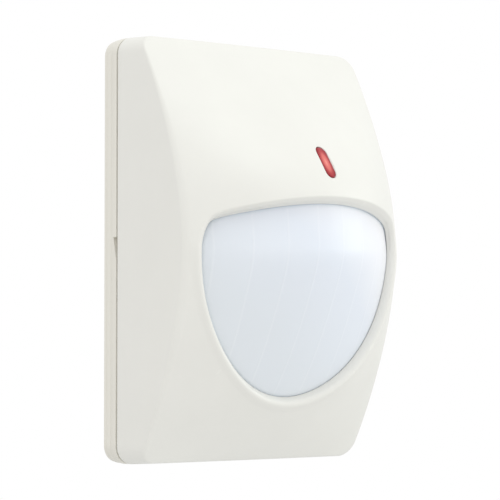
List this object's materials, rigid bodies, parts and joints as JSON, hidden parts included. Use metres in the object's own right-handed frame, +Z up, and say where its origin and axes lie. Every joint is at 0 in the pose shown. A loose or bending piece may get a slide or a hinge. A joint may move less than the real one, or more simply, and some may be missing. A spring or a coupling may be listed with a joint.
{
  "type": "motion sensor",
  "caption": "Wall-mounted passive infrared motion sensor with a bulging white cover, a drop-shaped frosted lens, a red indicator window and a board that slides to aim it.",
  "frame": {"origin": "centre of the rear face that lies on the wall", "axes": "+Z up, the front faces -Y, X across; +Y points into the wall"},
  "size_m": [0.0666, 0.0456, 0.1],
  "materials": {
    "case_plastic": "fine satin moulding",
    "base_plastic": "fine satin moulding",
    "lens_film": "frosted, grooved on the inside",
    "frame_plastic": "satin moulding",
    "indicator_red": "clear red, polished",
    "led_resin": "clear red",
    "board_laminate": "solder resist",
    "plated_steel": "bright plating",
    "black_resin": "moulded resin",
    "infrared_filter": "polished silicon",
    "shroud_plastic": "satin moulding",
    "terminal_plastic": "satin moulding",
    "relay_case": "satin moulding",
    "switch_blue": "satin moulding",
    "switch_white": "satin moulding",
    "capacitor_sleeve": "shrink sleeve",
    "grommet_rubber": "matt"
  },
  "bodies": {
    "base": {"rear_base": "base_plastic", "cable_grommet": "grommet_rubber"},
    "cover": {"front_cover": "case_plastic", "fresnel_lens": "lens_film", "lens_frame": "frame_plastic", "led_light_guide": "indicator_red"},
    "board": {"circuit_board": "board_laminate", "sensor_spacer": "black_resin", "pyro_sensor_can": "plated_steel", "pyro_filter_window": "infrared_filter", "sensor_shroud": "shroud_plastic", "indicator_led": "led_resin", "terminal_block": "terminal_plastic", "alarm_relay": "relay_case", "tamper_switch_body": "black_resin", "option_switch_body": "switch_blue", "sensitivity_trimmer_body": "switch_blue", "supply_capacitor": "capacitor_sleeve", "filter_capacitor": "capacitor_sleeve", "timing_capacitor": "capacitor_sleeve", "signal_processor": "black_resin", "amplifier_chip": "black_resin", "voltage_regulator": "black_resin", "clock_resonator": "plated_steel"},
    "board_screw": {"board_screw": "plated_steel"},
    "tamper_plunger": {"tamper_plunger": "switch_white"},
    "sensitivity_rotor": {"sensitivity_rotor": "switch_white"},
    "terminal_screw_1": {"terminal_screw_1": "plated_steel"},
    "terminal_screw_2": {"terminal_screw_2": "plated_steel"},
    "terminal_screw_3": {"terminal_screw_3": "plated_steel"},
    "terminal_screw_4": {"terminal_screw_4": "plated_steel"},
    "terminal_screw_5": {"terminal_screw_5": "plated_steel"},
    "terminal_screw_6": {"terminal_screw_6": "plated_steel"},
    "option_slider_1": {"option_slider_1": "switch_white"},
    "option_slider_2": {"option_slider_2": "switch_white"},
    "option_slider_3": {"option_slider_3": "switch_white"}
  },
  "joints": [
    {"name": "cover_pull", "type": "slide", "parent": "base", "child": "cover", "axis": [0, -1, 0], "range_m": [0, 0.045]},
    {"name": "board_adjust", "type": "slide", "parent": "base", "child": "board", "axis": [0, 0, 1], "range_m": [-0.003, 0.003]},
    {"name": "board_screw_turn", "type": "hinge", "parent": "base", "child": "board_screw", "pos_m": [0, -0.008, 0.028], "axis": [0, -1, 0], "continuous": true},
    {"name": "tamper_press", "type": "slide", "parent": "board", "child": "tamper_plunger", "axis": [0, 1, 0], "range_m": [0, 0.0012], "stiffness_N_per_m": 300, "springref_m": -0.0005},
    {"name": "sensitivity_turn", "type": "hinge", "parent": "board", "child": "sensitivity_rotor", "pos_m": [-0.0206, -0.0115, 0.006], "axis": [0, -1, 0], "range_deg": [-135, 135]},
    {"name": "terminal_screw_turn_1", "type": "hinge", "parent": "board", "child": "terminal_screw_1", "pos_m": [-0.0125, -0.015, -0.031], "axis": [0, -1, 0], "continuous": true},
    {"name": "terminal_screw_turn_2", "type": "hinge", "parent": "board", "child": "terminal_screw_2", "pos_m": [-0.0075, -0.015, -0.031], "axis": [0, -1, 0], "continuous": true},
    {"name": "terminal_screw_turn_3", "type": "hinge", "parent": "board", "child": "terminal_screw_3", "pos_m": [-0.0025, -0.015, -0.031], "axis": [0, -1, 0], "continuous": true},
    {"name": "terminal_screw_turn_4", "type": "hinge", "parent": "board", "child": "terminal_screw_4", "pos_m": [0.0025, -0.015, -0.031], "axis": [0, -1, 0], "continuous": true},
    {"name": "terminal_screw_turn_5", "type": "hinge", "parent": "board", "child": "terminal_screw_5", "pos_m": [0.0075, -0.015, -0.031], "axis": [0, -1, 0], "continuous": true},
    {"name": "terminal_screw_turn_6", "type": "hinge", "parent": "board", "child": "terminal_screw_6", "pos_m": [0.0125, -0.015, -0.031], "axis": [0, -1, 0], "continuous": true},
    {"name": "option_slide_1", "type": "slide", "parent": "board", "child": "option_slider_1", "axis": [0, 0, 1], "range_m": [0, 0.0014]},
    {"name": "option_slide_2", "type": "slide", "parent": "board", "child": "option_slider_2", "axis": [0, 0, 1], "range_m": [0, 0.0014]},
    {"name": "option_slide_3", "type": "slide", "parent": "board", "child": "option_slider_3", "axis": [0, 0, 1], "range_m": [0, 0.0014]}
  ]
}
